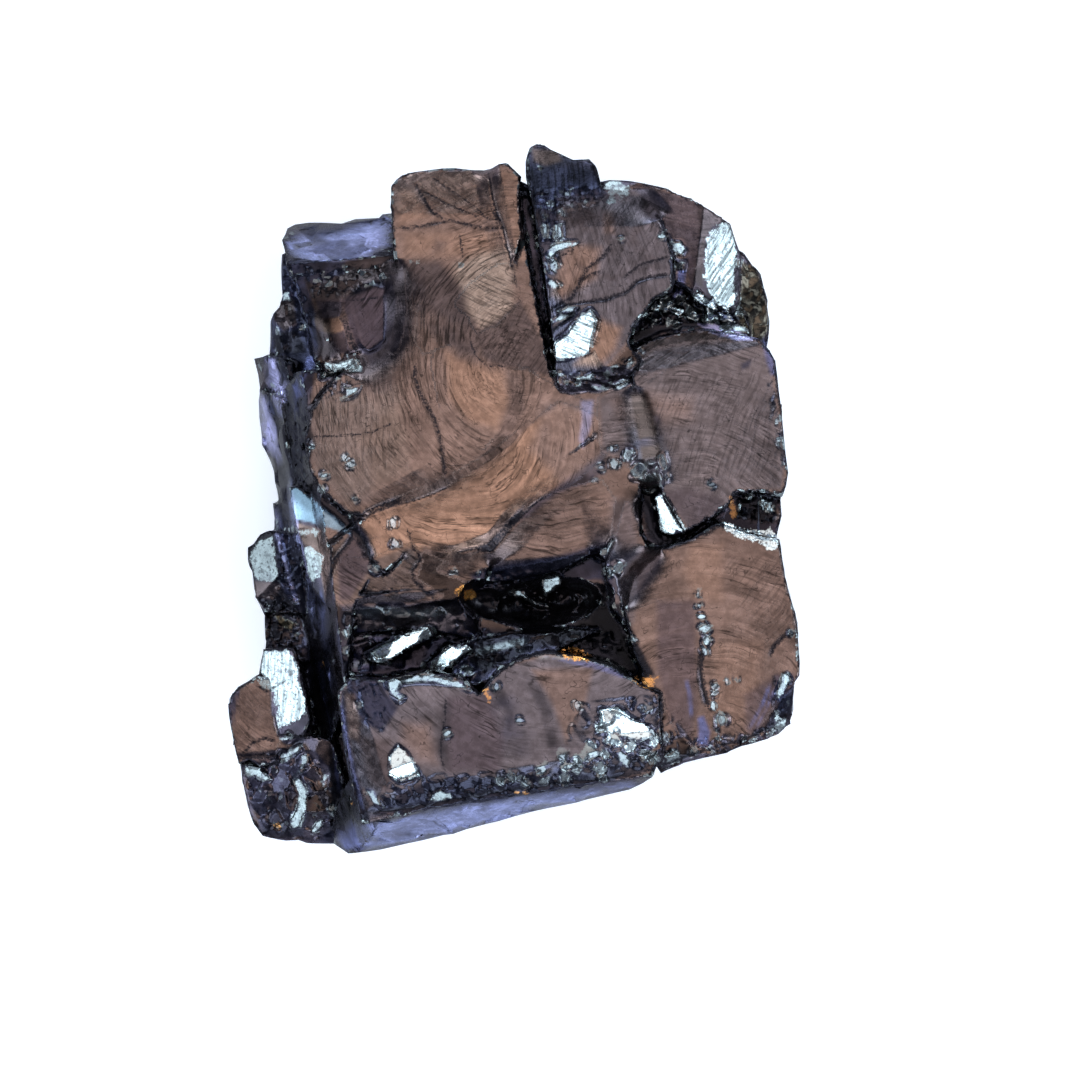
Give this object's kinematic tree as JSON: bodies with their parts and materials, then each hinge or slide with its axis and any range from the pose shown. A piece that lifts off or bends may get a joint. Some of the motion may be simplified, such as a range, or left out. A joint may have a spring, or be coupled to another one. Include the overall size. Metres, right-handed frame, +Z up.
{
  "type": "raw shungite",
  "caption": "Raw chunk of glossy black shungite with stepped conchoidal fracture faces, a deep parting and a low side ledge, resting on a flat parting face.",
  "frame": {"origin": "middle of the bounding box in plan, on the plane of the flat base face", "axes": "+Z up out of the stepped top, +Y towards the parting between the two upper lobes, +X towards the side away from the low ledge"},
  "size_m": [0.0286, 0.0356, 0.0162],
  "materials": {
    "shungite": "glassy, near-metallic black with a brown cast on the upper faces"
  },
  "bodies": {
    "root": {"shungite_stone": "shungite"}
  },
  "joints": []
}
